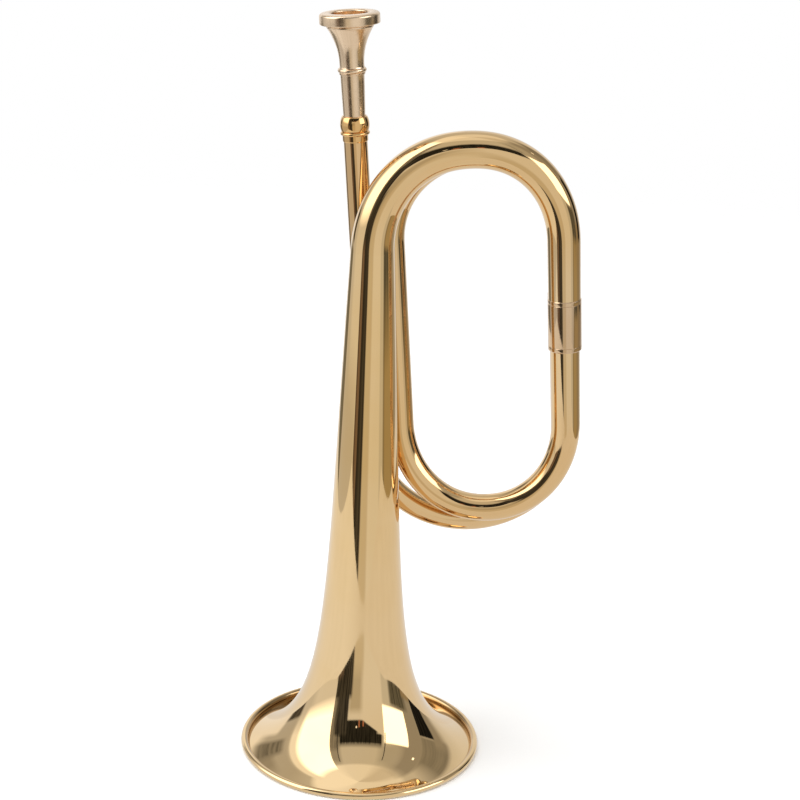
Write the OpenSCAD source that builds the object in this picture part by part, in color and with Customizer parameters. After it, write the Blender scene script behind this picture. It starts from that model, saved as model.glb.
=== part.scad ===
// Natural bugle, double-wrapped, standing on its bell.
// Origin: centre of the bell's mouth, on the plane that the rim rests on.
// +Z runs up the bell axis, +X points from the bell towards the far
// side of the loops, and the side carrying the bell is at -Y.
// All lengths in millimetres.

/* [Bell] */
// Outside diameter of the bell over its rolled rim
bell_d = 115; // [112:0.5:118]
// Height at which the top bow takes over from the bell tail
bell_h = 243.5; // [238:0.1:247]
// Height of the seam between the spun flare and the drawn bell tail
bell_seam = 74; // [60:1:100]
// Sheet thickness of the bell and of every tube
wall = 0.5; // [0.4:0.05:0.6]
// Diameter of the rolled bead at the rim
bead_d = 3.2; // [2.8:0.1:3.4]
// Height of the centre of the bead above the resting plane
bead_z = 1.5; // [1.3:0.05:1.55]

/* [Loops] */
// Width between the bell axis and the front right-hand branch, at mid height
front_x = 89.05; // [86:0.05:92]
// Depth of the front right-hand branch behind the bell axis
front_y = 3.7; // [3:0.1:4.5]
// Distance between the front and the rear right-hand branches
branch_gap = 14.6; // [14.5:0.1:15.5]
// Height that the lower ends of the front top bow start at
top_front_z = 249.4; // [247:0.1:252]
// Rise of the front top bow above its ends
top_front_h = 43.8; // [41:0.1:45]
// Height that the rear top bow starts at
top_rear_z = 251.0; // [249:0.1:253]
// Rise of the rear top bow
top_rear_h = 38.5; // [37:0.1:40]
// Height that the front bottom bow starts at
low_front_z = 159.4; // [158:0.1:162]
// Drop of the front bottom bow
low_front_h = 43.1; // [41:0.1:45]
// Height that the rear bottom bow starts at
low_rear_z = 145.8; // [144:0.1:148]
// Drop of the rear bottom bow
low_rear_h = 40.6; // [40:0.1:43]

/* [Tube radii] */
// Leadpipe radius where it leaves the receiver
r_lead0 = 5.35; // [5.2:0.05:5.4]
// Leadpipe radius at the rear bottom bow
r_lead1 = 5.5; // [5.4:0.05:5.6]
// Rear bottom bow radius at the rear branch
r_lowrear = 5.7; // [5.6:0.05:5.8]
// Rear branch radius under its ferrule
r_rear0 = 5.8; // [5.7:0.05:5.9]
// Rear branch radius above its ferrule
r_rear1 = 5.95; // [5.9:0.05:6.05]
// Left branch radius at its top
r_left0 = 6.0; // [5.95:0.05:6.1]
// Left branch radius at its bottom
r_left1 = 6.1; // [6.05:0.05:6.2]
// Front branch radius at the front bottom bow
r_front0 = 6.65; // [6.5:0.05:6.7]
// Front branch radius under its ferrule
r_front1 = 6.8; // [6.7:0.05:6.85]
// Front branch radius above its ferrule
r_front2 = 7.35; // [7.2:0.05:7.4]
// Front branch radius at the top bow
r_front3 = 7.5; // [7.4:0.05:7.6]

/* [Ferrules] */
// Outside radius of the front ferrule
fer_front_r = 7.7; // [7.65:0.05:7.8]
// Outside radius of the rear ferrule
fer_rear_r = 6.5; // [6.4:0.05:6.6]
// Length of each ferrule
fer_len = 24.2; // [20:0.1:28]
// Distance from each end of a ferrule to its engraved line
fer_line = 2.1; // [1.5:0.1:3]

/* [Mouthpiece] */
// Outside radius of the mouthpiece rim
mp_rim_r = 13.35; // [13:0.05:13.8]
// Radius of the cup at the bite
mp_cup_r = 8.3; // [8:0.1:8.8]
// Radius of the throat bore
mp_throat_r = 1.9; // [1.7:0.05:2.2]
// Clearance between the shank and its socket, on the radius
shank_gap = 0.15; // [0.1:0.05:0.2]

/* [Hidden] */
brass = [0.80, 0.66, 0.42];
pale = [0.76, 0.66, 0.52];
grey = [0.70, 0.69, 0.66];
FN = 96;

// ---- small vector helpers ----
function unit(v) = v / norm(v);
function mix(a, b, t) = a * (1 - t) + b * t;
// a point on a line given by its point at z = 200 and its slope (x, y, 1)
function on(p, w, z) = p + (z - 200) * w;
// the point on line (p, w) that lies square across from point q
function across(p, w, z, q) = let (a = on(p, w, z), d = unit(w)) a + d * ((q - a) * d);

// ---- the straight runs: a point at z = 200 and a slope ----
w_loop = [-0.0738, -0.047, 1];
w_left = [-0.0794, 0.0144, 1];
w_lead = [-0.07, -0.047, 1];
w_pipe = [-0.0785, -0.047, 1];
w_bell = [0, 0, 1];
p_front = [front_x, front_y, 200];
p_rear = [front_x + 0.15, front_y + branch_gap, 200];
p_left = [12.1, 14.0, 200];
p_lead = [-2.55, 18.0, 200];
p_bell = [0, 0, 200];

// ---- leadpipe: distance s along the mouthpiece's axis from its point at z = 200 ----
s_rec0 = 90.8;   // lower end of the receiver
s_rec1 = 102.0;  // mouth of the receiver
s_sock = 92.7;   // top of the leadpipe inside the receiver
s_tip = 79.0;    // tip of the mouthpiece shank
s_cup = 124.9;   // where the cup starts to widen out of the shank
s_rim = 142.4;   // underside of the mouthpiece rim
s_top = 147.4;   // highest point of the mouthpiece rim
function lead_at(s) = p_lead + unit(w_lead) * s;
// the pipe leans a little more than the mouthpiece and meets its axis at s_sock
p_pipe = lead_at(s_sock) + w_pipe * (200 - lead_at(s_sock)[2]);

// ---- ends of the bows ----
tf_a = on(p_front, w_loop, top_front_z);
tf_b = [0, 0, bell_h];
tr_a = on(p_rear, w_loop, top_rear_z);
tr_b = across(p_left, w_left, top_rear_z, tr_a);
lf_a = on(p_left, w_left, low_front_z);
lf_b = across(p_front, w_loop, low_front_z, lf_a);
lr_a = on(p_pipe, w_pipe, low_rear_z);
lr_b = across(p_rear, w_loop, low_rear_z, lr_a);

// ---- ferrule centres ----
fer_f = on(p_front, w_loop, 211.85);
fer_r = on(p_rear, w_loop, 210.9);

// ---- bell profile: a power-law flare on a slightly bowed cone ----
rim_r = bell_d / 2 - 1.23;
flare_z0 = 13.38;
flare_g = 0.6625;
flare_k = (rim_r - 0.39) * pow(flare_z0, flare_g);
function bell_r(z) = flare_k * pow(z + flare_z0, -flare_g) + 0.39 + 0.0455 * z - 0.000159 * z * z;
function bell_s(z) = -flare_g * flare_k * pow(z + flare_z0, -flare_g - 1) + 0.0455 - 0.000318 * z;
function bell_in(z) = bell_r(z) - wall * sqrt(1 + bell_s(z) * bell_s(z));
r_tail = bell_r(bell_h);

module bell_section(z0, z1, n, p) {
  zs = [for (i = [0:n]) z0 + (z1 - z0) * pow(i / n, p)];
  polygon(concat([for (z = zs) [bell_r(z), z]],
                 [for (i = [n:-1:0]) [bell_in(zs[i]), zs[i]]]));
}

// ---- put a shape made along +Z at point p, pointing along w ----
module along(p, w) {
  d = unit(w);
  translate(p) rotate([0, acos(d[2]), atan2(d[1], d[0])]) children();
}

// ---- a straight, slightly conical tube between two points on a line ----
module cone_tube(a, b, ra, rb) {
  h = norm(b - a);
  along(a, b - a) difference() {
    cylinder(h = h, r1 = ra, r2 = rb, $fn = FN);
    // bore, run a little past both ends on the same taper
    translate([0, 0, -1]) cylinder(h = h + 2,
      r1 = ra - wall - (rb - ra) / h, r2 = rb - wall + (rb - ra) / h, $fn = FN);
  }
}

// ---- bows: centre line is a superellipse between two straight runs ----
function bow_pt(a, b, da, db, h, e, t) =
  let (c = cos(t), s = sin(t),
       k = (1 - sign(c) * pow(abs(c), e)) / 2,
       d = unit(mix(da, db, (1 - c) / 2)))
  mix(a, b, k) + d * (h * pow(max(s, 0), e));
// radius along the bow: ra, rm and rb at 0, 0.5 and 1
function bow_r(ra, rm, rb, u) =
  ra * (1 - u) * (1 - 2 * u) + 4 * rm * u * (1 - u) + rb * u * (2 * u - 1);

// a, b: ends; wa, wb: slopes of the two runs; h: rise (negative drops)
module bow_tube(a, b, wa, wb, h, n, ra, rm, rb, rings = 30, sides = 24) {
  da = unit(wa);
  db = unit(wb);
  e = 2 / n;
  up = h > 0 ? 1 : -1;
  nb = unit(cross(b - a, da + db)) * up;
  ctr = [for (i = [0:rings]) bow_pt(a, b, da, db, h, e, 180 * i / rings)];
  tan = [for (i = [0:rings]) i == 0 ? da * up : i == rings ? -db * up
        : unit(ctr[i + 1] - ctr[i - 1])];
  nn = [for (i = [0:rings]) unit(cross(nb, tan[i]))];
  bb = [for (i = [0:rings]) cross(tan[i], nn[i])];
  function ring(i, r) = [for (k = [0:sides - 1])
    ctr[i] + r * (nn[i] * cos(360 * k / sides) + bb[i] * sin(360 * k / sides))];
  outer = [for (i = [0:rings]) each ring(i, bow_r(ra, rm, rb, i / rings))];
  inner = [for (i = [0:rings]) each ring(i, bow_r(ra, rm, rb, i / rings) - wall)];
  m = (rings + 1) * sides;
  function o(i, k) = i * sides + k % sides;
  function q(i, k) = m + i * sides + k % sides;
  polyhedron(points = concat(outer, inner), faces = concat(
    [for (i = [0:rings - 1], k = [0:sides - 1]) each
      [[o(i, k), o(i + 1, k), o(i + 1, k + 1)], [o(i, k), o(i + 1, k + 1), o(i, k + 1)],
       [q(i, k), q(i + 1, k + 1), q(i + 1, k)], [q(i, k), q(i, k + 1), q(i + 1, k + 1)]]],
    [for (k = [0:sides - 1]) each
      [[o(0, k), o(0, k + 1), q(0, k + 1)], [o(0, k), q(0, k + 1), q(0, k)],
       [o(rings, k), q(rings, k + 1), o(rings, k + 1)], [o(rings, k), q(rings, k), q(rings, k + 1)]]]),
    convexity = 8);
}

// ---- ferrule: a sleeve over a tube joint, with an engraved line near each end ----
module ferrule(c, r, ra, rb) {
  h = fer_len;
  along(c, w_loop) rotate_extrude($fn = FN) difference() {
    polygon([[ra + 0.05, -h / 2], [r - 0.25, -h / 2], [r, -h / 2 + 0.35],
      [r, -h / 2 + fer_line - 0.14], [r - 0.14, -h / 2 + fer_line], [r, -h / 2 + fer_line + 0.14],
      [r, h / 2 - fer_line - 0.14], [r - 0.14, h / 2 - fer_line], [r, h / 2 - fer_line + 0.14],
      [r, h / 2 - 0.35], [r - 0.25, h / 2], [rb + 0.05, h / 2],
      [rb + 0.05, 0], [ra + 0.05, 0]]);
  }
}

// ---- mouthpiece outline ----
function shank_r(s) = 5.45 - 0.025 * (s_cup - s);
function cup_r(s) = 5.45 + 5.05 * pow(max(s - s_cup, 0) / 16.4, 2.07);

module bell_flare() {
  color(brass) rotate_extrude($fn = 180) difference() {
    union() {
      bell_section(0, bell_seam, 34, 1.7);
      intersection() {
        translate([bell_d / 2 - bead_d / 2, bead_z]) circle(d = bead_d, $fn = 48);
        translate([bell_d / 2 - bead_d - 1, 0]) square([bead_d + 2, 6]);
      }
    }
    translate([bell_d / 2 - bead_d / 2, bead_z]) circle(d = bead_d - 2 * wall, $fn = 48);
  }
}

module bell_rim_wire() {
  color(grey) rotate_extrude($fn = 180)
    translate([bell_d / 2 - bead_d / 2, bead_z]) circle(d = bead_d - 2 * wall - 0.1, $fn = 48);
}

module bell_tail() {
  color(brass) rotate_extrude($fn = 180) bell_section(bell_seam, bell_h, 26, 1);
}

module front_top_bow() {
  color(brass) bow_tube(tf_a, tf_b, w_loop, w_bell, top_front_h, 2.17,
    r_front3, 8.35, r_tail);
}

module front_branch_upper() {
  color(brass) cone_tube(fer_f, tf_a, r_front2, r_front3);
}

module front_ferrule() {
  color(brass) ferrule(fer_f, fer_front_r, r_front1, r_front2 + 0.02);
}

module front_branch_lower() {
  color(brass) cone_tube(lf_b, fer_f, r_front0, r_front1);
}

module front_bottom_bow() {
  color(brass) bow_tube(lf_a, lf_b, w_left, w_loop, -low_front_h, 2.08,
    r_left1, (r_left1 + r_front0) / 2, r_front0);
}

module left_branch() {
  color(brass) cone_tube(lf_a, tr_b, r_left1, r_left0);
}

module rear_top_bow() {
  color(brass) bow_tube(tr_a, tr_b, w_loop, w_left, top_rear_h, 2.03,
    r_left0, r_left0, r_left0);
}

module rear_branch_upper() {
  color(brass) cone_tube(fer_r, tr_a, r_rear1, r_left0);
}

module rear_ferrule() {
  color(brass) ferrule(fer_r, fer_rear_r, r_rear0, r_rear1 + 0.02);
}

module rear_branch_lower() {
  color(brass) cone_tube(lr_b, fer_r, r_lowrear, r_rear0);
}

module rear_bottom_bow() {
  color(brass) bow_tube(lr_a, lr_b, w_pipe, w_loop, -low_rear_h, 1.966,
    r_lead1, (r_lead1 + r_lowrear) / 2, r_lowrear);
}

module leadpipe() {
  color(brass) cone_tube(lr_a, lead_at(s_sock), r_lead1, r_lead0);
}

// ball, ring and collar, with a tapered socket for the shank
module mouthpiece_receiver() {
  n = 14;
  color(brass) along(p_lead, w_lead) rotate_extrude($fn = FN) polygon(concat(
    [[r_lead0 + 0.04, s_rec0], [5.6, s_rec0], [5.75, s_rec0 + 0.4], [5.75, s_rec0 + 2.85]],
    [for (i = [0:8]) [5.75 + 0.9 * sin(180 * i / 8), s_rec0 + 3.7 - 0.83 * cos(180 * i / 8)]],
    [for (i = [0:n]) let (t = i / n, s = s_rec0 + 4.9) [5.35 + 1.25 * pow(sin(180 * (0.2 + 0.76 * t)), 0.7), s + (s_rec1 - s) * t]],
    [[shank_r(s_rec1) + shank_gap, s_rec1], [shank_r(s_sock) + shank_gap, s_sock], [r_lead0 + 0.04, s_sock]]));
}

// one turned piece: rim, cup, throat, backbore, shank and its ring
module mouthpiece() {
  n = 12;
  color(pale) along(p_lead, w_lead) rotate_extrude($fn = FN) polygon(concat(
    // shank and ring
    [[3.3, s_tip], [shank_r(s_tip) - 0.2, s_tip], [shank_r(s_tip + 0.4), s_tip + 0.4],
     [shank_r(s_cup - 4.5), s_cup - 4.5], [5.75, s_cup - 4.4], [5.8, s_cup - 3.7]],
    [for (i = [0:8]) [5.65 + 0.75 * sin(180 * i / 8), s_cup - 2.6 - 0.93 * cos(180 * i / 8)]],
    // outside of the cup, up to its collar
    [for (i = [0:n]) let (s = s_cup - 0.8 + (s_rim - 1.5 - s_cup + 0.8) * i / n) [cup_r(s), s]],
    [[10.4, s_rim - 1.4], [10.4, s_rim - 0.75], [10.1, s_rim - 0.6], [10.1, s_rim - 0.05]],
    // rim: underside, outer wall, rounded corner and crown
    [[mp_rim_r - 0.35, s_rim], [mp_rim_r - 0.1, s_rim + 0.1], [mp_rim_r, s_rim + 0.35]],
    [for (i = [0:8]) [mp_rim_r - 1.5 * (1 - cos(90 * i / 8)), s_top - 1.45 + 1.3 * sin(90 * i / 8)]],
    [for (i = [1:3]) [mp_rim_r - 1.5 - 0.5 * i, s_top - 0.15 + 0.15 * sin(90 * i / 3)]],
    [for (i = [1:6]) [mp_cup_r + (mp_rim_r - 3.75 - mp_cup_r) * (1 - sin(90 * i / 6)), s_top - 0.8 * (1 - cos(90 * i / 6))]],
    // cup, throat and backbore
    [for (i = [1:n]) [mp_throat_r + (mp_cup_r - mp_throat_r) * pow(cos(90 * i / n), 0.75),
                      s_top - 0.8 - 11.6 * sin(90 * i / n)]],
    [[mp_throat_r, s_top - 18], [3.3, s_tip]]));
}

// solder between the two ferrules
module ferrule_solder() {
  d = fer_r - fer_f;
  color(grey) difference() {
    along(fer_f + d * 0.5, w_loop) rotate([0, 0, atan2(d[1], d[0])])
      translate([-1.1, -1.5, -8]) cube([2.2, 3, 16]);
    along(fer_f, w_loop) translate([0, 0, -20]) cylinder(h = 40, r = fer_front_r + 0.01, $fn = 360);
    along(fer_r, w_loop) translate([0, 0, -20]) cylinder(h = 40, r = fer_rear_r + 0.01, $fn = 360);
  }
}

// solder between the bell tail and another run, at height z
module tail_solder(p, w, z, ra, rb, len) {
  c = on(p, w, z);
  g = [c[0], c[1], 0];
  rc = (bell_r(z) + norm(g) - ra) / 2;
  color(grey) difference() {
    translate(unit(g) * rc + [0, 0, z]) rotate([0, 0, atan2(g[1], g[0])])
      translate([-1.1, -1.5, -len / 2]) cube([2.2, 3, len]);
    translate([0, 0, z - len]) cylinder(h = 2 * len,
      r1 = bell_r(z - len) + 0.06, r2 = bell_r(z + len) + 0.06, $fn = 360);
    along(c, w) translate([0, 0, -2 * len]) cylinder(h = 4 * len, r = ra + 0.02, $fn = 360);
  }
}

module leadpipe_solder() {
  tail_solder(p_pipe, w_pipe, 209, 5.45, 5.45, 14);
}

module left_branch_solder() {
  tail_solder(p_left, w_left, 198, 6.08, 6.08, 14);
}

bell_flare();
bell_rim_wire();
bell_tail();
front_top_bow();
front_branch_upper();
front_ferrule();
front_branch_lower();
front_bottom_bow();
left_branch();
rear_top_bow();
rear_branch_upper();
rear_ferrule();
rear_branch_lower();
rear_bottom_bow();
leadpipe();
mouthpiece_receiver();
mouthpiece();
ferrule_solder();
leadpipe_solder();
left_branch_solder();
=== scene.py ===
# Looks of a double-wound natural bugle standing on its bell.
# Lengths in the profile and path functions are millimetres in the CAD frame;
# meshes are made in metres.
import math

import bpy
import numpy as np
from mathutils import Matrix


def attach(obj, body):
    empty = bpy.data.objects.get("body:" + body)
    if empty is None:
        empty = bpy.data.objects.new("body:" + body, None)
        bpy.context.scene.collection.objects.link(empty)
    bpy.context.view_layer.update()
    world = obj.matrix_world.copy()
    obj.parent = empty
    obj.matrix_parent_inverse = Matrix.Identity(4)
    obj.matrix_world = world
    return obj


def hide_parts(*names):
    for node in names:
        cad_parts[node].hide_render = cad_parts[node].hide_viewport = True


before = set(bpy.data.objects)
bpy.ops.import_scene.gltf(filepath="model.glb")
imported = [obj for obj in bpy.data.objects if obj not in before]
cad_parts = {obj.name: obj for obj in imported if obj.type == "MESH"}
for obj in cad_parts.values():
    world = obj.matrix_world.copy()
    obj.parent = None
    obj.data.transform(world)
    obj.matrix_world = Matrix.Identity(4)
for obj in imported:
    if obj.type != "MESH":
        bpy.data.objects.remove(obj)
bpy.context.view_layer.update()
MM = 0.001
scene = bpy.context.scene

# --------------------------------------------------------------------------
# camera
# --------------------------------------------------------------------------
PAN, TILT, ROLL = 0.01935692, 0.30333574, 0.03258663
fwd = np.array([math.sin(PAN) * math.cos(TILT), math.cos(PAN) * math.cos(TILT), -math.sin(TILT)])
rgt = np.array([math.cos(PAN), -math.sin(PAN), 0.0])
up = np.cross(rgt, fwd)
cx = rgt * math.cos(ROLL) + up * math.sin(ROLL)
cy = -rgt * math.sin(ROLL) + up * math.cos(ROLL)
cam_data = bpy.data.cameras.new("camera")
cam_data.sensor_width = 36.0
cam_data.lens = 76.5
cam_data.clip_start = 0.05
cam_data.clip_end = 60.0
cam = bpy.data.objects.new("camera", cam_data)
scene.collection.objects.link(cam)
cam.matrix_world = Matrix((
    (cx[0], cy[0], -fwd[0], 0.0),
    (cx[1], cy[1], -fwd[1], -0.7438685),
    (cx[2], cy[2], -fwd[2], 0.407218),
    (0.0, 0.0, 0.0, 1.0)))
scene.camera = cam
scene.view_settings.view_transform = "Standard"
scene.view_settings.look = "None"
scene.view_settings.exposure = 0.0
scene.view_settings.gamma = 1.0


# --------------------------------------------------------------------------
# node helpers
# --------------------------------------------------------------------------
class Graph:
    """Small helper that adds and links shader nodes."""

    def __init__(self, tree):
        self.t = tree
        for n in list(tree.nodes):
            tree.nodes.remove(n)

    def put(self, socket, value):
        if isinstance(value, bpy.types.NodeSocket):
            self.t.links.new(value, socket)
        elif value is not None:
            if hasattr(socket.default_value, "__len__"):
                v = list(value) if hasattr(value, "__len__") else [value] * 3
                if len(socket.default_value) == 4 and len(v) == 3:
                    v.append(1.0)
                socket.default_value = v
            else:
                socket.default_value = value

    def node(self, kind, **props):
        n = self.t.nodes.new(kind)
        for k, v in props.items():
            setattr(n, k, v)
        return n

    def math(self, op, a, b=None, c=None, clamp=False):
        n = self.node("ShaderNodeMath", operation=op, use_clamp=clamp)
        self.put(n.inputs[0], a)
        if b is not None:
            self.put(n.inputs[1], b)
        if c is not None:
            self.put(n.inputs[2], c)
        return n.outputs[0]

    def mix(self, f, a, b):
        n = self.node("ShaderNodeMix", data_type="RGBA")
        self.put(n.inputs[0], f)
        self.put(n.inputs[6], a)
        self.put(n.inputs[7], b)
        return n.outputs[2]

    def mixf(self, f, a, b):
        n = self.node("ShaderNodeMix", data_type="FLOAT")
        self.put(n.inputs[0], f)
        self.put(n.inputs[2], a)
        self.put(n.inputs[3], b)
        return n.outputs[0]

    def vec(self, x, y, z):
        n = self.node("ShaderNodeCombineXYZ")
        self.put(n.inputs[0], x)
        self.put(n.inputs[1], y)
        self.put(n.inputs[2], z)
        return n.outputs[0]

    def split(self, v):
        n = self.node("ShaderNodeSeparateXYZ")
        self.put(n.inputs[0], v)
        return n.outputs[0], n.outputs[1], n.outputs[2]

    def scale(self, v, s):
        n = self.node("ShaderNodeVectorMath", operation="MULTIPLY")
        self.put(n.inputs[0], v)
        self.put(n.inputs[1], s)
        return n.outputs[0]

    def noise(self, v, scale, detail=2.0, rough=0.5, distort=0.0):
        n = self.node("ShaderNodeTexNoise", noise_dimensions="3D")
        self.put(n.inputs["Vector"], v)
        n.inputs["Scale"].default_value = scale
        n.inputs["Detail"].default_value = detail
        n.inputs["Roughness"].default_value = rough
        n.inputs["Distortion"].default_value = distort
        return n.outputs["Fac"]

    def ramp(self, v, a, b, lo=0.0, hi=1.0, smooth=True):
        n = self.node("ShaderNodeMapRange")
        n.interpolation_type = "SMOOTHSTEP" if smooth else "LINEAR"
        self.put(n.inputs[0], v)
        n.inputs[1].default_value = a
        n.inputs[2].default_value = b
        n.inputs[3].default_value = lo
        n.inputs[4].default_value = hi
        return n.outputs[0]

    def bump(self, height, strength, distance, normal=None):
        n = self.node("ShaderNodeBump")
        n.inputs["Strength"].default_value = strength
        n.inputs["Distance"].default_value = distance
        self.put(n.inputs["Height"], height)
        if normal is not None:
            self.put(n.inputs["Normal"], normal)
        return n.outputs["Normal"]

    def window(self, x, y, x0, x1, y0, y1, sx=(2.0, 2.0), sy=(2.0, 2.0)):
        """1 inside a rectangle, falling to 0 across the given widths at its edges."""
        a = self.math("MULTIPLY_ADD", x, 1.0 / sx[0], 0.5 - x0 / sx[0], clamp=True)
        b = self.math("MULTIPLY_ADD", x, -1.0 / sx[1], 0.5 + x1 / sx[1], clamp=True)
        c = self.math("MULTIPLY_ADD", y, 1.0 / sy[0], 0.5 - y0 / sy[0], clamp=True)
        d = self.math("MULTIPLY_ADD", y, -1.0 / sy[1], 0.5 + y1 / sy[1], clamp=True)
        return self.math("MULTIPLY", self.math("MULTIPLY", a, b), self.math("MULTIPLY", c, d))


# --------------------------------------------------------------------------
# studio: what the polished metal mirrors, by direction (degrees)
# azimuth 0 is towards the camera, 90 towards +X
# --------------------------------------------------------------------------
world = bpy.data.worlds.new("studio")
scene.world = world
world.use_nodes = True
g = Graph(world.node_tree)
tc = g.node("ShaderNodeTexCoord")
dx, dy, dz = g.split(tc.outputs["Generated"])
az = g.math("MULTIPLY", g.math("ARCTAN2", dx, g.math("MULTIPLY", dy, -1.0)), 180 / math.pi)
el = g.math("MULTIPLY", g.math("ARCSINE", dz), 180 / math.pi)
# (azimuth from, to, elevation from, to, edge widths left/right, below/above, brightness, tint,
# and for a leaning top edge its rise per degree)
PANELS = [
    (-400, 400, 67, 120, (5, 5), (3, 5), 0.95, (1, 1, 1)),
    (-150, -45, 67, 120, (30, 30), (4, 5), 1.12, (1, 1, 1)),
    (40, 100, 67, 120, (30, 20), (6, 5), 0.74, (1, 0.97, 0.93)),
    (63, 107, -20, 67, (34, 8), (4, 10), 0.36, (1, 0.97, 0.92)),
    (36, 72, 40, 64, (12, 16), (5, 10), 0.50, (1, 0.99, 0.95)),
    (105, 138, 22, 54, (4, 4), (4, 12), 0.27, (1, 0.97, 0.9)),
    (124, 136, -20, 30, (2, 8), (4, 8), 0.34, (1, 0.96, 0.88)),
    (142, 400, -30, 42, (14, 5), (4, 10), 0.82, (1, 1, 1)),
    (-400, -146, -30, 36, (5, 8), (4, 6), 1.02, (1, 1, 1)),
    (-146, -117, -8, 62, (8, 5), (6, 14), 0.53, (1, 0.99, 0.96)),
    (-148, -134, 36, 47, (6, 6), (6, 8), 0.38, (1, 0.97, 0.9)),
    (-148, -124, 24, 37, (6, 6), (4, 5), 0.22, (1, 0.97, 0.9)),
    (-200, -136, -30, 17, (8, 4), (6, 5), 0.98, (1, 1, 1)),
    (-136, -115, -7, 5, (4, 4), (2, 3), 0.075, (1, 0.9, 0.75)),
    (-148, -118, -50, -8.5, (3, 3), (4, 2), 0.20, (1, 0.98, 0.85)),
    (-115, -50, -30, 12, (4, 1), (4, 14), 0.80, (1, 1, 1)),
    (-118, -98, -30, 6, (4, 12), (4, 12), 0.66, (1, 1, 1)),
    (-118, -56, -50, -12.5, (4, 3), (4, 3), 0.62, (1, 1, 1)),
    (-115, -51.5, 14, 71, (3, 1), (18, 5), 1.08, (1, 1, 1)),
    (-104, -51.5, 7, 70, (7, 1), (11, 5), 2.45, (1, 1, 1)),
    (-51, -35, 10, 64, (1, 8), (4, 8), 0.38, (1, 0.97, 0.9)),
    (-51.5, -37, 3, 47, (1, 5), (3, 6), 0.25, (1, 0.96, 0.88)),
    (-36, 39, 29, 42, (5, 4), (1.5, 7), 0.021, (1, 0.97, 0.85)),
    (-36, 31, 18, 33, (5, 4), (1.5, 2), 0.021, (1, 0.97, 0.85)),
    (-24, 46, 11, 17.5, (3, 3), (2, 1.5), 0.78, (1, 0.99, 0.97)),
    (-17, 46, -60, 12, (5, 3), (5, 2), 0.80, (1, 0.99, 0.96)),
    (2, 45, -20, 16.4, (3, 3), (3, 1.2), 0.81, (1, 0.99, 0.97), 0.33),
    (-21, 2, -60, 12, (6, 9), (5, 5), 0.53, (1, 0.94, 0.80)),
    (-21, 4, -60, -5, (6, 9), (5, 5), 0.66, (1, 0.93, 0.78)),
    (-45, -23, -30, 31, (4, 2.5), (4, 4), 0.046, (1, 0.95, 0.85)),
    (-51.5, -18, -60, 4, (1.5, 4), (4, 3), 0.046, (1, 0.93, 0.78)),
    (-54, -40, -60, -5, (2, 5), (4, 4), 0.15, (1, 0.72, 0.55)),
    (44, 68, -60, 6, (4, 8), (5, 3), 0.64, (1, 1, 0.97)),
    (60, 92, -60, 5, (5, 8), (5, 2.5), 0.105, (1, 0.98, 0.82)),
    (88, 122, -60, -2, (4, 4), (5, 2), 0.32, (1, 0.84, 0.58)),
    (62, 96, -60, -10.5, (12, 6), (5, 4), 0.42, (1, 0.82, 0.48)),
    (43, 84, 6.5, 37.5, (1.2, 1.2), (1.5, 2), 2.7, (1, 1, 1)),
    (105, 125, -9, 21.5, (1.5, 1.5), (2, 1.5), 0.012, (1, 1, 1)),
    (-39.2, -37.8, 12, 63, (0.5, 0.5), (1, 1), 0.03, (1, 1, 1)),
    (43.8, 45.2, 27, 59, (0.5, 0.5), (1, 1), 0.03, (1, 1, 1)),
    (93.6, 96.4, 47.2, 49.5, (1, 1), (0.8, 0.8), 2.6, (1, 1, 1)),
    (-7.2, -5.2, 23, 24.6, (0.6, 0.6), (0.6, 0.6), 1.6, (1, 1, 1)),
    (-2.4, -0.2, 18, 24, (0.6, 0.6), (0.8, 0.8), 0.45, (1, 0.42, 0.25)),
    (4.6, 7.0, 18.5, 23, (0.6, 0.6), (0.8, 0.8), 0.45, (1, 0.42, 0.25)),
]
col = None
prev = (0.66, 0.655, 0.64, 1.0)
for a0, a1, e0, e1, sa, se, val, tint, *lean in PANELS:
    ee = g.math("MULTIPLY_ADD", az, -lean[0], el) if lean else el
    m = g.window(az, ee, a0, a1, e0, e1, sa, se)
    prev = g.mix(m, prev, [val * t for t in tint])
# shelves and folds in the darker parts of the room
bw = g.node("ShaderNodeRGBToBW")
g.put(bw.inputs[0], prev)
streak = g.noise(g.vec(g.math("MULTIPLY", az, 0.42), g.math("MULTIPLY", el, 0.035), 0.0), 1.0, 3.0, 0.6)
dark = g.ramp(bw.outputs[0], 0.08, 0.32, 1.0, 0.0)
amount = g.math("MULTIPLY", g.ramp(streak, 0.33, 0.67, -0.55, 0.8), dark)
prev = g.scale(prev, g.math("ADD", amount, 1.0))
bg = g.node("ShaderNodeBackground")
g.put(bg.inputs["Color"], prev)
bg.inputs["Strength"].default_value = 1.0
out = g.node("ShaderNodeOutputWorld")
g.t.links.new(bg.outputs[0], out.inputs["Surface"])


def stage_mesh(name, verts, faces, material, camera=True, glossy=True, diffuse=True, shadow=True):
    me = bpy.data.meshes.new(name)
    me.from_pydata(verts, [], faces)
    me.materials.append(material)
    ob = bpy.data.objects.new(name, me)
    scene.collection.objects.link(ob)
    ob.visible_camera = camera
    ob.visible_glossy = glossy
    ob.visible_diffuse = diffuse
    ob.visible_transmission = diffuse
    ob.visible_volume_scatter = False
    ob.visible_shadow = shadow
    return ob


def disc(radius, z, n=96):
    return ([(radius * math.cos(2 * math.pi * i / n), radius * math.sin(2 * math.pi * i / n), z) for i in range(n)],
            [tuple(range(n))])


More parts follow.
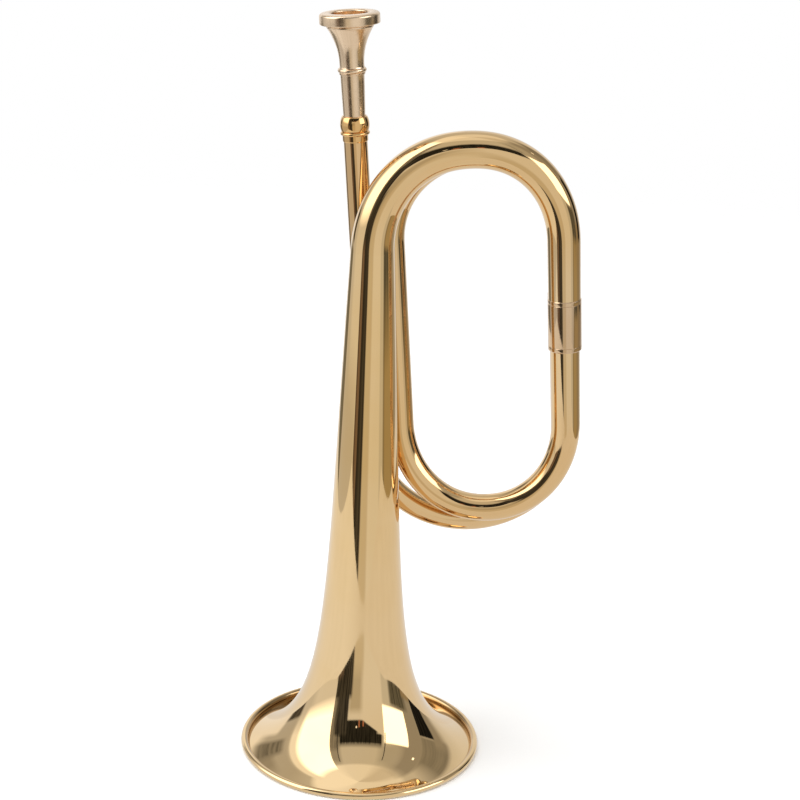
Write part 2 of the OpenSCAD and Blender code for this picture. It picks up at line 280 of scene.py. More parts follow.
# pale floor: what the camera sees and what catches the soft shadow
fm = bpy.data.materials.new("floor_paper")
fm.use_nodes = True
g = Graph(fm.node_tree)
bs = g.node("ShaderNodeBsdfPrincipled")
tco = g.node("ShaderNodeTexCoord")
grain = g.noise(tco.outputs["Object"], 900.0, 3.0)
g.put(bs.inputs["Base Color"], g.mix(grain, (0.88, 0.88, 0.88), (0.92, 0.92, 0.915)))
bs.inputs["Roughness"].default_value = 0.9
bs.inputs["Specular IOR Level"].default_value = 0.0
tr = g.node("ShaderNodeBsdfTransparent")
geo = g.node("ShaderNodeNewGeometry")
fx, fy, fz_ = g.split(tco.outputs["Object"])
fr = g.math("SQRT", g.math("ADD", g.math("MULTIPLY", fx, fx), g.math("MULTIPLY", fy, fy)))
ms = g.node("ShaderNodeMixShader")
g.put(ms.inputs[0], g.math("MAXIMUM", geo.outputs["Backfacing"], g.ramp(fr, 0.5, 1.6)))
g.t.links.new(bs.outputs[0], ms.inputs[1])
g.t.links.new(tr.outputs[0], ms.inputs[2])
o = g.node("ShaderNodeOutputMaterial")
g.t.links.new(ms.outputs[0], o.inputs["Surface"])
v, f = disc(1.7, 0.0)
floor = stage_mesh("floor", v, f, fm, glossy=False)

# what the metal mirrors of the floor: pale, with the darker things that stood round the table
rm = bpy.data.materials.new("floor_mirrored")
rm.use_nodes = True
g = Graph(rm.node_tree)
tco = g.node("ShaderNodeTexCoord")
px, py, pz = g.split(tco.outputs["Object"])
c = g.mix(g.ramp(px, -0.26, 0.02), (0.93, 0.93, 0.93), (0.80, 0.775, 0.745))
c = g.mix(g.ramp(g.noise(tco.outputs["Object"], 14.0, 2.0), 0.4, 0.65, 0.0, 0.35), c, (0.86, 0.85, 0.83))
# the patch of floor inside the bell's mouth lies in its own shade
pr = g.math("SQRT", g.math("ADD", g.math("MULTIPLY", px, px), g.math("MULTIPLY", py, py)))
c = g.scale(c, g.mixf(g.ramp(pr, 0.0560, 0.0572), g.ramp(pr, 0.0, 0.055, 0.08, 0.62), 1.0))
em = g.node("ShaderNodeEmission")
g.put(em.inputs["Color"], c)
tr = g.node("ShaderNodeBsdfTransparent")
geo = g.node("ShaderNodeNewGeometry")
ms = g.node("ShaderNodeMixShader")
g.put(ms.inputs[0], geo.outputs["Backfacing"])
g.t.links.new(em.outputs[0], ms.inputs[1])
g.t.links.new(tr.outputs[0], ms.inputs[2])
o = g.node("ShaderNodeOutputMaterial")
g.t.links.new(ms.outputs[0], o.inputs["Surface"])
v = [(-0.47, -0.338, -0.0004), (0.45, -0.342, -0.0004), (0.45, 0.3, -0.0004), (0.46, 0.9, -0.0004),
     (-0.30, 0.9, -0.0004), (-0.33, 0.5, -0.0004), (-0.40, 0.06, -0.0004)]
f = [(0, 1, 2, 3, 4, 5, 6)]
mirror_floor = stage_mesh("floor_reflection", v, f, rm, camera=False, glossy=True, diffuse=False, shadow=False)

# plain backdrop dome, seen by the camera only
dm = bpy.data.materials.new("backdrop_paper")
dm.use_nodes = True
g = Graph(dm.node_tree)
em = g.node("ShaderNodeEmission")
em.inputs["Color"].default_value = (1.0, 1.0, 1.0, 1)
o = g.node("ShaderNodeOutputMaterial")
g.t.links.new(em.outputs[0], o.inputs["Surface"])
nv, nh = 16, 48
dv, df = [], []
for i in range(nv + 1):
    e = math.pi * (i / nv - 0.5)
    for j in range(nh):
        a = 2 * math.pi * j / nh
        dv.append((9.0 * math.cos(e) * math.cos(a), 9.0 * math.cos(e) * math.sin(a), 9.0 * math.sin(e)))
for i in range(nv):
    for j in range(nh):
        df.append((i * nh + j, i * nh + (j + 1) % nh, (i + 1) * nh + (j + 1) % nh, (i + 1) * nh + j))
dome = stage_mesh("backdrop", dv, df, dm, glossy=False, diffuse=False, shadow=False)

# soft overhead light for the floor
ld = bpy.data.lights.new("overhead", "AREA")
ld.shape = "RECTANGLE"
ld.size, ld.size_y = 2.2, 2.2
ld.energy = 30.0
lo_ = bpy.data.objects.new("overhead", ld)
scene.collection.objects.link(lo_)
lo_.location = (-0.4, 0.1, 2.2)
lo_.visible_glossy = False


# --------------------------------------------------------------------------
# materials
# --------------------------------------------------------------------------
def polar(g, along=1.0, around=1.0):
    """Coordinates that run round and along a turned or drawn tube, without a seam.
    The mesh's UV holds the turn (0 to 1) and the distance along the profile (m)."""
    uv = g.node("ShaderNodeUVMap")
    u, v, w = g.split(uv.outputs[0])
    a = g.math("MULTIPLY", u, 2 * math.pi)
    return g.vec(g.math("MULTIPLY", g.math("COSINE", a), around),
                 g.math("MULTIPLY", g.math("SINE", a), around),
                 g.math("MULTIPLY", v, along))


def brass_material(name, base=(0.835, 0.605, 0.325), deep=(0.80, 0.545, 0.24), rough=0.045, wave=1.0,
                   coat=0.6, draw_marks=1.0, tarnish=0.5, groove=0.0, zones=()):
    m = bpy.data.materials.new(name)
    m.use_nodes = True
    g = Graph(m.node_tree)
    tco = g.node("ShaderNodeTexCoord")
    pos = tco.outputs["Object"]
    p = g.node("ShaderNodeBsdfPrincipled")
    p.inputs["Metallic"].default_value = 1.0
    # lacquer of uneven thickness: slow drift between paler and deeper gold
    drift = g.ramp(g.noise(pos, 22.0, 3.0, 0.55), 0.36, 0.66)
    ox, oy, oz = g.split(pos)
    thick = g.math("MULTIPLY", g.ramp(oz, 0.095, 0.15), g.ramp(oz, 0.19, 0.25, 1.0, 0.35))
    for x0, x1, z0, z1, sx, sz, b2, d2 in zones:
        f = g.window(ox, oz, x0, x1, z0, z1, sx, sz)
        base, deep = g.mix(f, base, b2), g.mix(f, deep, d2)
    c = g.mix(g.math("ADD", g.math("MULTIPLY", drift, 0.35), g.math("MULTIPLY", thick, 0.5)), base, deep)
    # faint tarnish specks under the lacquer
    speck = g.ramp(g.noise(pos, 420.0, 4.0, 0.65), 0.66, 0.80)
    patch = g.ramp(g.noise(pos, 34.0, 2.0), 0.52, 0.72)
    sp = g.math("MULTIPLY", g.math("MULTIPLY", speck, patch), tarnish)
    c = g.mix(sp, c, (0.44, 0.27, 0.12))
    if groove:
        # a dark brownish ring, broken up by noise, in the angle beside the rolled rim
        rad = g.math("SQRT", g.math("ADD", g.math("MULTIPLY", ox, ox), g.math("MULTIPLY", oy, oy)))
        q = g.math("MULTIPLY", g.ramp(rad, 0.0531, 0.0546), g.ramp(rad, 0.0553, 0.0560, 1.0, 0.0))
        q = g.math("MULTIPLY", q, g.ramp(g.noise(pos, 90.0, 3.0), 0.25, 0.6, 0.6, 1.0))
        c = g.mix(g.math("MULTIPLY", q, groove), c, (0.16, 0.075, 0.025))
    g.put(p.inputs["Base Color"], c)
    # polishing marks: hairlines that run mostly round the tube, some along it
    ring = g.noise(polar(g, 2600.0, 5.0), 1.0, 3.0, 0.6)
    length = g.noise(polar(g, 26.0, 190.0), 1.0, 3.0, 0.6)
    hair = g.math("ADD", g.math("MULTIPLY", ring, 0.6), g.math("MULTIPLY", length, 0.4))
    r = g.ramp(hair, 0.38, 0.72, rough * 0.75, rough * 1.7)
    smudge = g.ramp(g.noise(pos, 60.0, 3.0, 0.6), 0.5, 0.75, 0.0, rough * 0.6)
    r = g.math("ADD", r, smudge)
    r = g.math("ADD", r, g.math("MULTIPLY", sp, 0.2))
    g.put(p.inputs["Roughness"], r)
    # drawn and buffed metal is never quite true: slow ripples, plus the hairlines
    slow = g.noise(pos, 30.0, 1.0, 0.4)
    mid = g.noise(polar(g, 60.0, 2.0), 1.0, 1.0, 0.5)
    hgt = g.math("ADD", g.math("MULTIPLY", slow, 0.6), g.math("MULTIPLY", mid, 0.4))
    n1 = g.bump(hgt, 1.0, 0.000045 * wave)
    n2 = g.bump(hair, 0.35 * draw_marks, 0.0000012, n1)
    g.put(p.inputs["Normal"], n2)
    # lacquer film
    p.inputs["Coat Weight"].default_value = coat
    p.inputs["Coat IOR"].default_value = 1.48
    p.inputs["Coat Roughness"].default_value = 0.03
    g.put(p.inputs["Coat Normal"], n1)
    o = g.node("ShaderNodeOutputMaterial")
    g.t.links.new(p.outputs[0], o.inputs["Surface"])
    return m


def satin_material(name, base=(0.87, 0.665, 0.46), rough=0.24):
    m = bpy.data.materials.new(name)
    m.use_nodes = True
    g = Graph(m.node_tree)
    tco = g.node("ShaderNodeTexCoord")
    pos = tco.outputs["Object"]
    p = g.node("ShaderNodeBsdfPrincipled")
    p.inputs["Metallic"].default_value = 1.0
    drift = g.ramp(g.noise(pos, 55.0, 3.0, 0.6), 0.35, 0.7)
    c = g.mix(g.math("MULTIPLY", drift, 0.4), base, (0.78, 0.58, 0.395))
    # soft streaks along the piece and fine tool marks round it
    lines = g.noise(polar(g, 14.0, 9.0), 1.0, 2.0, 0.5)
    tool = g.noise(polar(g, 1100.0, 0.5), 1.0, 2.0, 0.6)
    c = g.mix(g.ramp(lines, 0.46, 0.75, 0.0, 0.45), c, (0.68, 0.48, 0.30))
    # inside of the cup painted paler: painted light that lifts the hollow against the darker tone of its own inner
    # reflections
    ox, oy, oz = g.split(pos)
    ox, oy = g.math("ADD", ox, 0.0128), g.math("ADD", oy, -0.0110)
    rad = g.math("SQRT", g.math("ADD", g.math("MULTIPLY", ox, ox), g.math("MULTIPLY", oy, oy)))
    c = g.mix(g.math("MULTIPLY", g.ramp(rad, 0.0075, 0.0082, 1.0, 0.0), g.ramp(oz, 0.3385, 0.3405)), c, (0.88, 0.79, 0.68))
    g.put(p.inputs["Base Color"], c)
    r = g.ramp(tool, 0.3, 0.75, rough * 0.85, rough * 1.15)
    r = g.math("ADD", r, g.ramp(lines, 0.4, 0.8, -0.03, 0.06))
    g.put(p.inputs["Roughness"], r)
    p.inputs["Anisotropic"].default_value = 0.5
    tg = g.node("ShaderNodeTangent", direction_type="UV_MAP")
    g.put(p.inputs["Tangent"], tg.outputs[0])
    n1 = g.bump(tool, 0.3, 0.000002)
    g.put(p.inputs["Normal"], n1)
    p.inputs["Coat Weight"].default_value = 0.1
    p.inputs["Coat Roughness"].default_value = 0.12
    o = g.node("ShaderNodeOutputMaterial")
    g.t.links.new(p.outputs[0], o.inputs["Surface"])
    return m


def grey_material(name, base=(0.62, 0.60, 0.55), rough=0.38):
    m = bpy.data.materials.new(name)
    m.use_nodes = True
    g = Graph(m.node_tree)
    tco = g.node("ShaderNodeTexCoord")
    pos = tco.outputs["Object"]
    p = g.node("ShaderNodeBsdfPrincipled")
    p.inputs["Metallic"].default_value = 1.0
    a = g.noise(pos, 700.0, 4.0, 0.6)
    c = g.mix(g.ramp(a, 0.35, 0.7), base, (0.42, 0.38, 0.30))
    g.put(p.inputs["Base Color"], c)
    g.put(p.inputs["Roughness"], g.ramp(a, 0.3, 0.7, rough * 0.8, rough * 1.4))
    g.put(p.inputs["Normal"], g.bump(g.noise(pos, 380.0, 3.0), 0.6, 0.0001))
    o = g.node("ShaderNodeOutputMaterial")
    g.t.links.new(p.outputs[0], o.inputs["Surface"])
    return m


M_BELL = brass_material("lacquered_brass_bell", rough=0.032, wave=0.7, draw_marks=0.4, groove=0.55)
PALE = (0.06, 0.2, 0.165, 0.245, (0.012, 0.01), (0.03, 0.03), (0.79, 0.585, 0.345), (0.77, 0.54, 0.27))
JOIN = (-0.05, 0.014, 0.1, 0.252, (0.01, 0.012), (0.02, 0.03), (0.835, 0.605, 0.325), (0.80, 0.545, 0.24))
M_TUBE = brass_material("lacquered_brass_tube", base=(0.79, 0.555, 0.295), deep=(0.77, 0.505, 0.22), rough=0.045,
                        wave=0.8, zones=[PALE])
M_TOP = brass_material("lacquered_brass_top_bow", base=(0.79, 0.555, 0.285), deep=(0.77, 0.505, 0.215), rough=0.045,
                       wave=0.8, zones=[PALE, JOIN])
M_LEAD = brass_material("lacquered_brass_leadpipe", base=(0.78, 0.52, 0.265), deep=(0.75, 0.47, 0.19), rough=0.045, wave=0.8)
M_FERR = brass_material("lacquered_brass_ferrule", base=(0.70, 0.51, 0.325), deep=(0.68, 0.47, 0.27), rough=0.09, wave=0.5, draw_marks=3.0)
M_RECV = brass_material("lacquered_brass_receiver", base=(0.80, 0.50, 0.21), deep=(0.72, 0.42, 0.13), rough=0.08, wave=0.6)
M_MOUTH = satin_material("satin_brass_turned")
M_SOLD = grey_material("soft_solder_dull")
M_WIRE = grey_material("drawn_wire", base=(0.55, 0.54, 0.52), rough=0.3)


# --------------------------------------------------------------------------
# mesh helpers
# --------------------------------------------------------------------------
def unit(v):
    v = np.asarray(v, float)
    return v / np.linalg.norm(v, axis=-1, keepdims=True)


def torus_grid(name, P, Nin, Nout, V, material):
    """Closed mesh from a grid that wraps both ways. P: rows x cols x 3 in mm.
    The face between row i and i+1 takes Nout[i] and Nin[i+1]. V: distance along, mm."""
    R, C = P.shape[:2]
    ii, kk = np.meshgrid(np.arange(R), np.arange(C), indexing="ij")
    i2, k2 = (ii + 1) % R, (kk + 1) % C
    quad = np.stack([ii * C + kk, i2 * C + kk, i2 * C + k2, ii * C + k2], -1).reshape(-1, 4)
    nrm = np.stack([Nout[ii, kk], Nin[i2, kk], Nin[i2, k2], Nout[ii, k2]], -2).reshape(-1, 4, 3)
    uu = np.stack([kk / C, kk / C, (kk + 1) / C, (kk + 1) / C], -1).reshape(-1, 4)
    vv = np.stack([V[ii], V[i2], V[i2], V[ii]], -1).reshape(-1, 4) * MM
    pts = P.reshape(-1, 3) * MM
    q = pts[quad]
    fn = np.cross(q[:, 2] - q[:, 0], q[:, 3] - q[:, 1])
    if (np.einsum("ij,ij->i", fn, nrm.mean(1))).sum() < 0:
        quad, nrm, uu, vv = quad[:, ::-1], nrm[:, ::-1], uu[:, ::-1], vv[:, ::-1]
    me = bpy.data.meshes.new(name)
    me.vertices.add(len(pts))
    me.vertices.foreach_set("co", pts.reshape(-1))
    nf = len(quad)
    me.loops.add(nf * 4)
    me.loops.foreach_set("vertex_index", quad.reshape(-1).astype(np.int32))
    me.polygons.add(nf)
    me.polygons.foreach_set("loop_start", np.arange(0, nf * 4, 4, dtype=np.int32))
    me.update(calc_edges=True)
    me.polygons.foreach_set("use_smooth", np.ones(nf, bool))
    uvl = me.uv_layers.new(name="UVMap")
    uvl.data.foreach_set("uv", np.stack([uu, vv], -1).reshape(-1).astype(np.float32))
    me.validate()
    me.normals_split_custom_set(unit(nrm).reshape(-1, 3).astype(np.float32).tolist())
    me.materials.append(material)
    ob = bpy.data.objects.new(name, me)
    scene.collection.objects.link(ob)
    return ob


def fillet(poly, rad, steps=5, least=20.0):
    """Round the corners of a closed outline."""
    P = np.asarray(poly, float)
    n = len(P)
    res = []
    for i in range(n):
        a, b, c = P[i - 1], P[i], P[(i + 1) % n]
        la, lc = np.linalg.norm(a - b), np.linalg.norm(c - b)
        ua, uc = (a - b) / la, (c - b) / lc
        ang = math.degrees(math.acos(max(-1, min(1, -float(ua @ uc)))))
        if ang < least:
            res.append(b)
            continue
        half = math.radians(180 - ang) / 2
        t = min(rad / math.tan(half), 0.42 * la, 0.42 * lc)
        p0, p1 = b + ua * t, b + uc * t
        for j in range(steps + 1):
            s = j / steps
            res.append(p0 * (1 - s) ** 2 + b * 2 * s * (1 - s) + p1 * s * s)
    return np.array(res)


def axis_frame(w):
    d = unit(w)
    x = unit(np.cross([0.0, 1.0, 0.0], d))
    y = np.cross(d, x)
    return x, y, d


def lathe(name, prof, origin, w, material, seg=160, corner=30.0):
    """Turn a closed outline of (radius, distance along) about an axis."""
    Q = [np.asarray(prof[0], float)]
    for p in prof[1:]:
        if np.linalg.norm(np.asarray(p) - Q[-1]) > 1e-4:
            Q.append(np.asarray(p, float))
    if np.linalg.norm(Q[0] - Q[-1]) < 1e-4:
        Q.pop()
    Q = np.array(Q)
    nx = np.roll(Q, -1, 0)
    if np.sum(Q[:, 0] * nx[:, 1] - nx[:, 0] * Q[:, 1]) < 0:
        Q = Q[::-1].copy()
        nx = np.roll(Q, -1, 0)
    d = nx - Q
    L = np.linalg.norm(d, axis=1)
    ns = np.stack([d[:, 1], -d[:, 0]], -1) / L[:, None]       # outward of each segment
    n_prev, l_prev = np.roll(ns, 1, 0), np.roll(L, 1)
    avg = unit(n_prev * L[:, None] + ns * l_prev[:, None])
    sharp = np.einsum("ij,ij->i", n_prev, ns) < math.cos(math.radians(corner))
    nin = np.where(sharp[:, None], n_prev, avg)
    nout = np.where(sharp[:, None], ns, avg)
    x, y, dz_ = axis_frame(w)
    th = 2 * np.pi * np.arange(seg) / seg
    ring = np.cos(th)[:, None] * x + np.sin(th)[:, None] * y
    o_ = np.asarray(origin, float)
    P = o_ + Q[:, 0, None, None] * ring[None] + Q[:, 1, None, None] * dz_
    A = nin[:, 0, None, None] * ring[None] + nin[:, 1, None, None] * dz_
    B = nout[:, 0, None, None] * ring[None] + nout[:, 1, None, None] * dz_
    V = np.concatenate([[0], np.cumsum(L)[:-1]])
    return torus_grid(name, P, A, B, V, material)


def sweep(name, ctr, nb, radius, wall, material, t0, t1, cols=96):
    """Tube of changing radius along centre points; nb is a rough binormal,
    t0 and t1 are the exact directions at its ends."""
    n = len(ctr)
    s = np.concatenate([[0], np.cumsum(np.linalg.norm(np.diff(ctr, axis=0), axis=1))])
    tan = np.gradient(ctr, s, axis=0, edge_order=2)
    tan[0], tan[-1] = t0, t1
    tan = unit(tan)
    nn = unit(np.cross(nb, tan))
    bb = np.cross(tan, nn)
    th = 2 * np.pi * np.arange(cols) / cols
    er = nn[:, None] * np.cos(th)[None, :, None] + bb[:, None] * np.sin(th)[None, :, None]
    et = -nn[:, None] * np.sin(th)[None, :, None] + bb[:, None] * np.cos(th)[None, :, None]
    out_, in_ = [], []
    for sign, rr in ((1, radius), (-1, radius - wall)):
        S = ctr[:, None] + rr[:, None, None] * er
        dS = np.gradient(S, s, axis=0, edge_order=2)
        N = np.cross(et, dS)
        N = unit(N)
        flip = np.sign(np.einsum("ijk,ijk->ij", N, er))[..., None]
        N = N * flip * sign
        (out_ if sign > 0 else in_).extend([S, N])
    So, No = out_
    Si, Ni = in_
    P = np.concatenate([So, Si[::-1]])
    c0 = np.broadcast_to(-tan[0], (cols, 3))
    c1 = np.broadcast_to(tan[-1], (cols, 3))
    Nin = np.concatenate([No, Ni[::-1]])
    Nout = Nin.copy()
    Nout[n - 1] = c1
    Nin = Nin.copy()
    Nin[n] = c1
    Nout[2 * n - 1] = c0
    Nin[0] = c0
    V = np.concatenate([s, s[::-1] + 400.0])
    return torus_grid(name, P, Nin, Nout, V, material)


# --------------------------------------------------------------------------
# the CAD's dimensions (mm)
# --------------------------------------------------------------------------
wall = 0.5
bell_d, bell_h, bell_seam, bead_d, bead_z = 115.0, 243.5, 74.0, 3.2, 1.5
rim_r, fz0, fg = 57.5 - 1.23, 13.38, 0.6625
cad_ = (rim_r - 0.39) * fz0 ** fg


def bell_r(z):
    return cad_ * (z + fz0) ** -fg + 0.39 + 0.0455 * z - 0.000159 * z * z


def bell_s(z):
    return -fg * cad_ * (z + fz0) ** (-fg - 1) + 0.0455 - 0.000318 * z


def bell_in(z):
    return bell_r(z) - wall * np.sqrt(1 + bell_s(z) ** 2)


def on(p, w, z):
    return p + (z - 200.0) * w


def across(p, w, z, q):
    a, d = on(p, w, z), unit(w)
    return a + d * ((q - a) @ d)


w_loop = np.array([-0.0738, -0.047, 1.0])
w_left = np.array([-0.0794, 0.0144, 1.0])
w_lead = np.array([-0.07, -0.047, 1.0])
w_pipe = np.array([-0.0785, -0.047, 1.0])
w_bell = np.array([0.0, 0.0, 1.0])
p_front = np.array([89.05, 3.7, 200.0])
p_rear = np.array([89.2, 18.3, 200.0])
p_left = np.array([12.1, 14.0, 200.0])
p_lead = np.array([-2.55, 18.0, 200.0])
pipe_top = p_lead + unit(w_lead) * 92.7
p_pipe = pipe_top + w_pipe * (200.0 - pipe_top[2])
r_lead0, r_lead1, r_lowrear, r_rear0, r_rear1 = 5.35, 5.5, 5.7, 5.8, 5.95
r_left0, r_left1, r_front0, r_front1, r_front2, r_front3 = 6.0, 6.1, 6.65, 6.8, 7.35, 7.5
r_tail = bell_r(bell_h)
tf_a = on(p_front, w_loop, 249.4)
tf_b = np.array([0.0, 0.0, bell_h])
tr_a = on(p_rear, w_loop, 251.0)
tr_b = across(p_left, w_left, 251.0, tr_a)
lf_a = on(p_left, w_left, 159.4)
lf_b = across(p_front, w_loop, 159.4, lf_a)
lr_a = on(p_pipe, w_pipe, 145.8)
lr_b = across(p_rear, w_loop, 145.8, lr_a)
fer_f = on(p_front, w_loop, 211.85)
fer_r = on(p_rear, w_loop, 210.9)
fer_len, fer_line = 24.2, 2.1


def horn(ob, slot, *nodes):
    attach(ob, "horn")
    if nodes:
        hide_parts(*nodes)
    return ob


# ---- bell ----
lo_z, hi_z = 0.3, 1.5
for _ in range(60):
    mid_z = 0.5 * (lo_z + hi_z)
    rr_ = bell_r(mid_z)
    if (rr_ - (bell_d / 2 - bead_d / 2)) ** 2 + (mid_z - bead_z) ** 2 < (bead_d / 2) ** 2:
        lo_z = mid_z
    else:
        hi_z = mid_z
z_meet = lo_z
bc, br_ = bell_d / 2 - bead_d / 2, bead_d / 2
a_meet = math.atan2(z_meet - bead_z, bell_r(z_meet) - bc) % (2 * math.pi)
a_end = -math.asin(bead_z / br_)
prof = [(bell_r(z), z) for z in z_meet + (bell_seam - z_meet) * np.linspace(1, 0, 150) ** 1.8]
prof += [(bc + br_ * math.cos(a), bead_z + br_ * math.sin(a)) for a in np.linspace(a_meet, a_end, 64)[1:]]
prof += [(bell_in(0.0), 0.0)]
prof += [(bell_in(z), z) for z in bell_seam * np.linspace(0, 1, 90)[1:] ** 1.7]
horn(lathe("bell_flare_skin", prof, (0, 0, 0), w_bell, M_BELL, seg=256), "lacquered_brass", "bell_flare")

zs = np.linspace(bell_h, bell_seam, 90)
prof = [(bell_r(z), z) for z in zs] + [(bell_in(z), z) for z in zs[::-1][::2]] + [(bell_in(bell_h), bell_h)]
horn(lathe("bell_tail_skin", prof, (0, 0, 0), w_bell, M_BELL, seg=160), "lacquered_brass", "bell_tail")


# ---- straight, slightly conical tubes ----
def cone(name, a, b, ra, rb, node):
    t = np.linspace(0, 1, 9)
    ctr = a[None] * (1 - t[:, None]) + b[None] * t[:, None]
    d = unit(b - a)
    mat = M_LEAD if node == "leadpipe" else M_TUBE
    ob = sweep(name, ctr, np.array([0.0, 1.0, 0.0]), ra + (rb - ra) * t, wall, mat, d, d)
    return horn(ob, "lacquered_brass", node)


cone("front_branch_upper_skin", fer_f, tf_a, r_front2, r_front3, "front_branch_upper")
cone("front_branch_lower_skin", lf_b, fer_f, r_front0, r_front1, "front_branch_lower")
cone("left_branch_skin", lf_a, tr_b, r_left1, r_left0, "left_branch")
cone("rear_branch_upper_skin", fer_r, tr_a, r_rear1, r_left0, "rear_branch_upper")
cone("rear_branch_lower_skin", lr_b, fer_r, r_lowrear, r_rear0, "rear_branch_lower")
cone("leadpipe_skin", lr_a, pipe_top, r_lead1, r_lead0, "leadpipe")


# ---- bows ----
def bow(name, a, b, wa, wb, h, n, ra, rm, rb, node, sa=None, sb=None, rings=150):
    """The CAD's bow on evenly spaced rings. sa and sb: the taper (mm per mm) that the
    neighbours have, so that the polished surface runs on without a kink."""
    da, db, e = unit(wa), unit(wb), 2.0 / n
    sgn = 1.0 if h > 0 else -1.0
    nb = unit(np.cross(b - a, da + db)) * sgn
    t = np.linspace(0, math.pi, 6001)
    c_, s_ = np.cos(t), np.maximum(np.sin(t), 0)
    k = (1 - np.sign(c_) * np.abs(c_) ** e) / 2
    m_ = ((1 - c_) / 2)[:, None]
    d = unit(da * (1 - m_) + db * m_)
    P = a * (1 - k[:, None]) + b * k[:, None] + d * (h * s_ ** e)[:, None]
    L = np.concatenate([[0], np.cumsum(np.linalg.norm(np.diff(P, axis=0), axis=1))])
    ls = np.linspace(0, L[-1], rings)
    ctr = np.stack([np.interp(ls, L, P[:, j]) for j in range(3)], -1)
    u = np.interp(ls, L, t) / math.pi
    r = ra * (1 - u) * (1 - 2 * u) + 4 * rm * u * (1 - u) + rb * u * (2 * u - 1)
    slope = np.gradient(r, ls, edge_order=2)
    w_ = 40.0
    if sb is not None:
        x = np.clip((ls - (L[-1] - w_)) / w_, 0, 1)
        r = r + (sb - slope[-2]) * (ls - L[-1]) * x ** 2
    if sa is not None:
        x = np.clip((w_ - ls) / w_, 0, 1)
        r = r + (sa - slope[1]) * ls * x ** 2
    ob = sweep(name, ctr, nb, r, wall, M_TOP if node == "front_top_bow" else M_TUBE, da * sgn, -db * sgn)
    return horn(ob, "lacquered_brass", node)


bow("front_top_bow_skin", tf_a, tf_b, w_loop, w_bell, 43.8, 2.17, r_front3, 8.35, r_tail, "front_top_bow",
    sa=0.004, sb=-bell_s(bell_h))
bow("rear_top_bow_skin", tr_a, tr_b, w_loop, w_left, 38.5, 2.03, r_left0, r_left0, r_left0, "rear_top_bow")
bow("front_bottom_bow_skin", lf_a, lf_b, w_left, w_loop, -43.1, 2.08, r_left1, (r_left1 + r_front0) / 2, r_front0,
    "front_bottom_bow", sa=0.001, sb=0.003)
bow("rear_bottom_bow_skin", lr_a, lr_b, w_pipe, w_loop, -40.6, 1.966, r_lead1, (r_lead1 + r_lowrear) / 2, r_lowrear,
    "rear_bottom_bow")


# ---- ferrules ----
def ferrule(name, c, r, ra, rb, node):
    h = fer_len
    g_ = 0.14
    poly = [(ra + 0.05, -h / 2), (r - 0.25, -h / 2), (r, -h / 2 + 0.35), (r, -h / 2 + fer_line - g_),
            (r - g_, -h / 2 + fer_line), (r, -h / 2 + fer_line + g_), (r, h / 2 - fer_line - g_),
            (r - g_, h / 2 - fer_line), (r, h / 2 - fer_line + g_), (r, h / 2 - 0.35), (r - 0.25, h / 2),
            (rb + 0.05, h / 2), (rb + 0.05, 0), (ra + 0.05, 0)]
    prof = fillet(poly, 0.05)
    ob = lathe(name, list(prof), c, w_loop, M_FERR, seg=128)
    return horn(ob, "lacquered_brass", node)


ferrule("front_ferrule_skin", fer_f, 7.7, r_front1, r_front2 + 0.02, "front_ferrule")
ferrule("rear_ferrule_skin", fer_r, 6.5, r_rear0, r_rear1 + 0.02, "rear_ferrule")

# ---- mouthpiece receiver ----
s_rec0, s_rec1, s_sock, s_tip, gap = 90.8, 102.0, 92.7, 79.0, 0.15
s_cup, s_rim, s_top = 124.9, 142.4, 147.4


def shank_r(s):
    return 5.45 - 0.025 * (s_cup - s)


def cup_r(s):
    return 5.45 + 5.05 * (np.maximum(s - s_cup, 0) / 16.4) ** 2.07


poly = [(r_lead0 + 0.04, s_rec0), (5.6, s_rec0), (5.75, s_rec0 + 0.4), (5.75, s_rec0 + 2.85)]
poly += [(5.75 + 0.9 * math.sin(a), s_rec0 + 3.7 - 0.83 * math.cos(a)) for a in np.linspace(0, math.pi, 25)]
poly += [(5.35 + 1.25 * math.sin(math.pi * (0.2 + 0.76 * t)) ** 0.7, s_rec0 + 4.9 + (s_rec1 - s_rec0 - 4.9) * t)
         for t in np.linspace(0, 1, 41)]
poly += [(shank_r(s_rec1) + gap, s_rec1), (shank_r(s_sock) + gap, s_sock), (r_lead0 + 0.04, s_sock)]
horn(lathe("mouthpiece_receiver_skin", list(fillet(poly, 0.18)), p_lead, w_lead, M_RECV, seg=128),
     "lacquered_brass", "mouthpiece_receiver")

# ---- mouthpiece ----
rim, cup, thr = 13.35, 8.3, 1.9
poly = [(3.3, s_tip), (shank_r(s_tip) - 0.2, s_tip), (shank_r(s_tip + 0.4), s_tip + 0.4)]
poly += [(shank_r(s), s) for s in np.linspace(s_tip + 4, s_cup - 4.5, 14)]
poly += [(5.75, s_cup - 4.4), (5.8, s_cup - 3.7)]
poly += [(5.65 + 0.75 * math.sin(a), s_cup - 2.6 - 0.93 * math.cos(a)) for a in np.linspace(0, math.pi, 25)]
poly += [(float(cup_r(s)), s) for s in np.linspace(s_cup - 0.8, s_rim - 1.5, 60)]
poly += [(10.4, s_rim - 1.4), (10.4, s_rim - 0.75), (10.1, s_rim - 0.6), (10.1, s_rim - 0.05)]
poly += [(rim - 0.35, s_rim), (rim - 0.1, s_rim + 0.1), (rim, s_rim + 0.35)]
poly += [(rim - 1.5 * (1 - math.cos(a)), s_top - 1.45 + 1.3 * math.sin(a)) for a in np.linspace(0, math.pi / 2, 25)]
poly += [(rim - 1.5 - 1.5 * q, s_top - 0.15 + 0.15 * math.sin(q * math.pi / 2)) for q in np.linspace(0, 1, 9)[1:]]
poly += [(cup + (rim - 3.75 - cup) * (1 - math.sin(a)), s_top - 0.8 * (1 - math.cos(a)))
         for a in np.linspace(0, math.pi / 2, 25)[1:]]
poly += [(thr + (cup - thr) * max(math.cos(a), 0) ** 0.75, s_top - 0.8 - 11.6 * math.sin(a))
         for a in np.linspace(0, math.pi / 2, 41)[1:]]
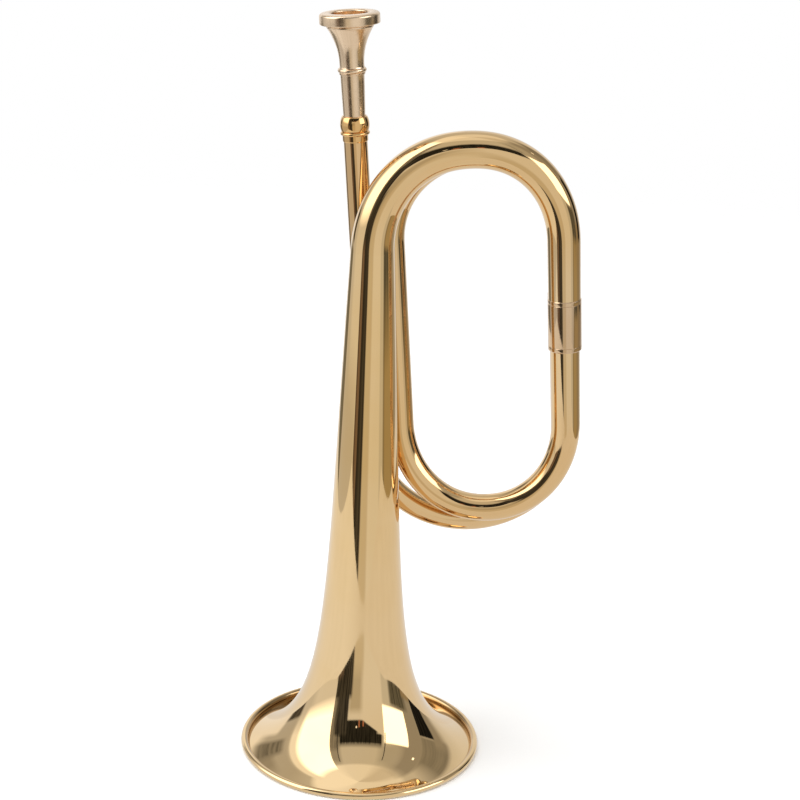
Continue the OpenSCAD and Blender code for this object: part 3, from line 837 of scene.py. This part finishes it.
poly += [(thr, s_top - 18)]
mp = lathe("mouthpiece_turned", list(fillet(poly, 0.12)), p_lead, w_lead, M_MOUTH, seg=160)
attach(mp, "mouthpiece")
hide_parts("mouthpiece")


# ---- solder joints: a fillet with hollow sides between two tubes ----
def solder(name, ca, ra, cb, rb, w, length, width, node):
    """ca, cb: centres of the tubes at the joint's middle, square to w."""
    d = unit(w)
    x = (cb - ca) - ((cb - ca) @ d) * d
    dist = np.linalg.norm(x)
    x = x / dist
    y = np.cross(d, x)
    rows = []
    n = 28
    for i in range(n):
        s = -1 + 2 * i / (n - 1)
        wv = width * max(1e-3, 1 - abs(s) ** 3.2) ** 0.5 * (1 + 0.08 * math.sin(7.1 * s + ra))
        pts = []
        aa, ab = math.asin(min(0.9, wv / ra)), math.asin(min(0.9, wv / rb))
        for q in np.linspace(-1, 1, 9):
            pts.append((ra * math.cos(aa * q) - 0.03, ra * math.sin(aa * q)))
        xa, xb = ra * math.cos(aa), dist - rb * math.cos(ab)
        for q in np.linspace(0, 1, 7)[1:-1]:
            pts.append((xa + (xb - xa) * q, wv * (1 - 0.42 * 4 * q * (1 - q))))
        for q in np.linspace(1, -1, 9):
            pts.append((dist - rb * math.cos(ab * q) + 0.03, rb * math.sin(ab * q)))
        for q in np.linspace(1, 0, 7)[1:-1]:
            pts.append((xa + (xb - xa) * q, -wv * (1 - 0.42 * 4 * q * (1 - q))))
        rows.append([ca + d * (s * length / 2) + x * p[0] + y * p[1] for p in pts])
    P = np.array(rows) * MM
    R, C = P.shape[:2]
    faces = [(i * C + k, i * C + (k + 1) % C, (i + 1) * C + (k + 1) % C, (i + 1) * C + k)
             for i in range(R - 1) for k in range(C)]
    faces += [tuple(range(C))[::-1], tuple((R - 1) * C + k for k in range(C))]
    me = bpy.data.meshes.new(name)
    me.from_pydata([tuple(p) for p in P.reshape(-1, 3)], [], faces)
    me.polygons.foreach_set("use_smooth", np.ones(len(me.polygons), bool))
    me.materials.append(M_SOLD)
    ob = bpy.data.objects.new(name, me)
    scene.collection.objects.link(ob)
    return horn(ob, "soft_solder", node)


mid_f = (fer_f + fer_r) / 2
dl = unit(w_loop)
solder("ferrule_solder_fillet", fer_f + dl * ((mid_f - fer_f) @ dl), 7.7, fer_r + dl * ((mid_f - fer_r) @ dl), 6.5,
       w_loop, 16.0, 1.4, "ferrule_solder")


def tail_solder(name, p, w, z, ra, node):
    c = on(p, w, z)
    wm = unit(w) + np.array([0, 0, 1.0])
    solder(name, np.array([0.0, 0.0, z]), bell_r(z), c, ra, wm, 14.0, 1.4, node)


tail_solder("leadpipe_solder_fillet", p_pipe, w_pipe, 209.0, 5.43, "leadpipe_solder")
tail_solder("left_branch_solder_fillet", p_left, w_left, 198.0, 6.06, "left_branch_solder")

# ---- the wire inside the rolled rim stays as its CAD solid ----
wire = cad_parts["bell_rim_wire"]
wire.data.materials.clear()
wire.data.materials.append(M_WIRE)
